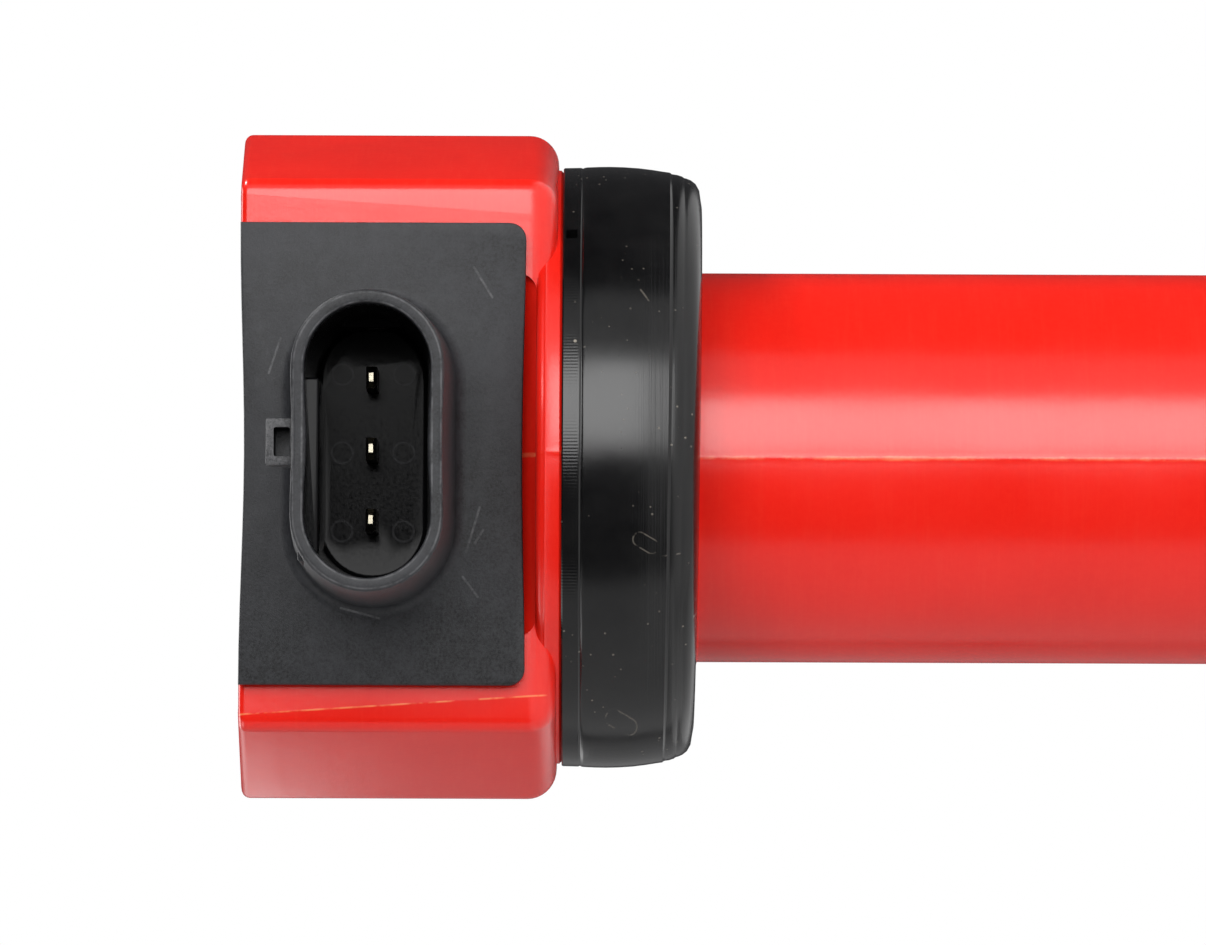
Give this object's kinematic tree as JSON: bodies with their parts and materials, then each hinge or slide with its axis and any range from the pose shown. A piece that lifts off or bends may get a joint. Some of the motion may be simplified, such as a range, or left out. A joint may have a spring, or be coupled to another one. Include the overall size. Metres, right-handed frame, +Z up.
{
  "type": "ignition coil",
  "caption": "Plug-top pencil ignition coil: square head with sealed three-way connector, ring seal, long winding tube and a pull-off plug boot with a sprung contact.",
  "frame": {"origin": "on the tube's axis, in the plane of the seal's lower face, where the part seats on the top of the spark plug's well", "axes": "+Z up the tube's axis towards the head, -Z down into the well towards the plug; the connector faces -Y; the head is symmetric about the YZ plane"},
  "size_m": [0.041, 0.0489, 0.168],
  "materials": {
    "red_moulding": "moulded glass-filled plastic, bright red, satin with a light sheen",
    "black_moulding": "matt black moulded plastic, finely speckled",
    "seal_rubber": "moulded black rubber, semi-gloss, dusty",
    "boot_silicone": "matt dark silicone rubber",
    "tinned_blade": "tin-plated brass",
    "resin": "cast black epoxy resin, glossy and slightly uneven",
    "board": "green glass-epoxy circuit board",
    "chip_body": "black epoxy package",
    "chip_ceramic": "sintered tan ceramic chip",
    "spreader": "plain aluminium sheet",
    "core_iron": "stacked silicon-iron strip",
    "magnet": "nickel-plated sintered magnet",
    "foam": "soft silicone foam pad",
    "bobbin": "ivory moulded bobbin plastic",
    "fine_wire": "fine enamelled copper winding",
    "primary_wire": "enamelled copper winding",
    "lead_wire": "tinned copper lead",
    "sleeve_iron": "rolled silicon-iron sheet",
    "diode_body": "moulded black diode body",
    "brass": "turned brass",
    "resistor": "coated ceramic rod with pressed end caps",
    "spring_steel": "stainless spring wire",
    "cap_steel": "nickel-plated drawn steel"
  },
  "bodies": {
    "coil": {"coil_case": "red_moulding", "connector_body": "black_moulding", "terminal_supply": "tinned_blade", "terminal_ground": "tinned_blade", "terminal_signal": "tinned_blade", "well_seal": "seal_rubber", "potting_compound": "resin", "igniter_board": "board", "igbt_switch": "chip_body", "driver_chip": "chip_body", "heat_spreader": "spreader", "filter_capacitors": "chip_ceramic", "gate_resistors": "chip_ceramic", "primary_lead_start": "lead_wire", "primary_lead_end": "lead_wire", "secondary_earth_lead": "lead_wire", "core_stack": "core_iron", "upper_magnet": "magnet", "lower_magnet": "magnet", "upper_core_pad": "foam", "lower_core_pad": "foam", "secondary_bobbin": "bobbin", "secondary_winding": "fine_wire", "primary_bobbin": "bobbin", "primary_winding": "primary_wire", "magnetic_sleeve": "sleeve_iron", "blocking_diode": "diode_body", "high_tension_terminal": "brass", "suppression_resistor": "resistor", "contact_spring": "spring_steel"},
    "contact": {"contact_cap": "cap_steel"},
    "boot": {"plug_boot": "boot_silicone"}
  },
  "joints": [
    {"name": "contact_press", "type": "slide", "parent": "coil", "child": "contact", "axis": [0, 0, 1], "range_m": [0, 0.004], "stiffness_N_per_m": 600, "deforming": ["contact_spring"]},
    {"name": "boot_pull", "type": "slide", "parent": "coil", "child": "boot", "axis": [0, 0, -1], "range_m": [0, 0.025]}
  ]
}
